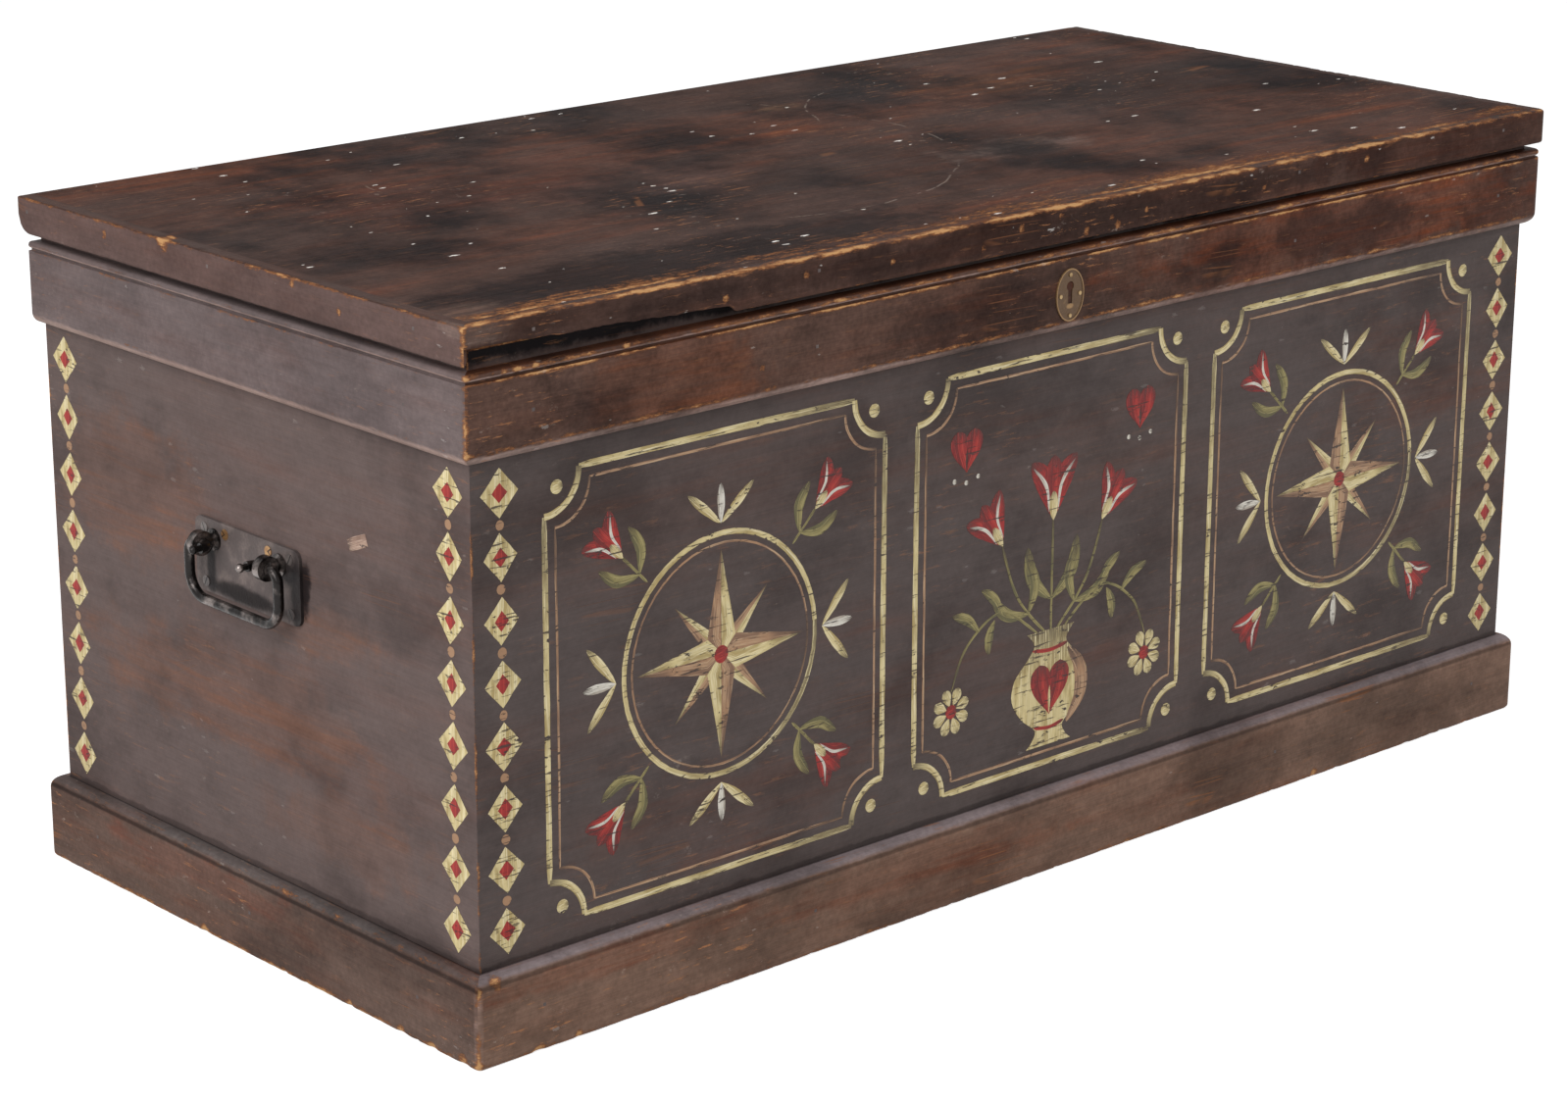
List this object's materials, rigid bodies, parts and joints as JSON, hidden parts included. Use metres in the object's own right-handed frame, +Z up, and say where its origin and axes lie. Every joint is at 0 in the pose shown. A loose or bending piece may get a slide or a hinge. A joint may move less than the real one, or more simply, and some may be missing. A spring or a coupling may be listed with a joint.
{
  "type": "blanket chest",
  "caption": "Low painted pine chest with a flat lipped lid hinged at the back, a beaded band under it, a moulded plinth, drop handles on the ends and a front keyhole.",
  "frame": {"origin": "on the floor, under the middle of the bounding box of the closed chest", "axes": "+X along the front, to the right of someone who faces it, +Y from the front to the back, +Z up"},
  "size_m": [1.1526, 0.535, 0.517],
  "materials": {
    "painted_pine": "pine boards in old dark brown paint with painted decoration, satin, worn to the wood at the edges",
    "bare_pine": "planed bare pine, darkened with age, matte",
    "iron": "blackened wrought iron, worn bright on the handles, satin",
    "steel": "dull plain steel",
    "brass": "tarnished brass, olive brown, brighter on the rim"
  },
  "bodies": {
    "chest": {"back_board": "painted_pine", "band_front": "painted_pine", "band_left": "painted_pine", "band_nails": "iron", "band_right": "painted_pine", "bottom_board_1": "bare_pine", "bottom_board_2": "bare_pine", "bottom_board_3": "bare_pine", "bottom_board_4": "bare_pine", "bottom_board_5": "bare_pine", "bottom_board_6": "bare_pine", "bottom_nails": "iron", "escutcheon": "brass", "escutcheon_pins": "brass", "front_board": "painted_pine", "hinge_chest_screws": "steel", "left_end_board": "painted_pine", "left_handle_back_eye": "iron", "left_handle_brass_screws": "brass", "left_handle_front_eye": "iron", "left_handle_plate": "iron", "left_handle_steel_screws": "steel", "left_hinge_chest_leaf": "steel", "left_hinge_pin": "steel", "lock_case": "steel", "lock_screws": "steel", "plinth_back": "painted_pine", "plinth_front": "painted_pine", "plinth_left": "painted_pine", "plinth_nails": "iron", "plinth_right": "painted_pine", "right_end_board": "painted_pine", "right_handle_back_eye": "iron", "right_handle_brass_screws": "brass", "right_handle_front_eye": "iron", "right_handle_plate": "iron", "right_handle_steel_screws": "steel", "right_hinge_chest_leaf": "steel", "right_hinge_pin": "steel"},
    "lid": {"batten_screws": "steel", "hinge_lid_screws": "steel", "left_hinge_lid_leaf": "steel", "lid_batten_left": "bare_pine", "lid_batten_right": "bare_pine", "lid_board_1": "painted_pine", "lid_board_2": "painted_pine", "lid_board_3": "painted_pine", "lid_link": "steel", "lid_lip_front": "painted_pine", "lid_lip_left": "painted_pine", "lid_lip_nails": "iron", "lid_lip_right": "painted_pine", "link_screws": "steel", "right_hinge_lid_leaf": "steel"},
    "left_bail": {"left_bail": "iron"},
    "right_bail": {"right_bail": "iron"},
    "lock_bolt": {"lock_bolt": "steel"}
  },
  "joints": [
    {"name": "lid_hinge", "type": "hinge", "parent": "chest", "child": "lid", "pos_m": [0, 0.2595, 0.497], "axis": [-1, 0, 0], "range_deg": [0, 100]},
    {"name": "left_bail_swing", "type": "hinge", "parent": "chest", "child": "left_bail", "pos_m": [-0.5595, 0, 0.304], "axis": [0, 1, 0], "range_deg": [-10, 110]},
    {"name": "right_bail_swing", "type": "hinge", "parent": "chest", "child": "right_bail", "pos_m": [0.5595, 0, 0.304], "axis": [0, -1, 0], "range_deg": [-10, 110]},
    {"name": "lock_bolt_slide", "type": "slide", "parent": "chest", "child": "lock_bolt", "axis": [1, 0, 0], "range_m": [0, 0.007]}
  ]
}
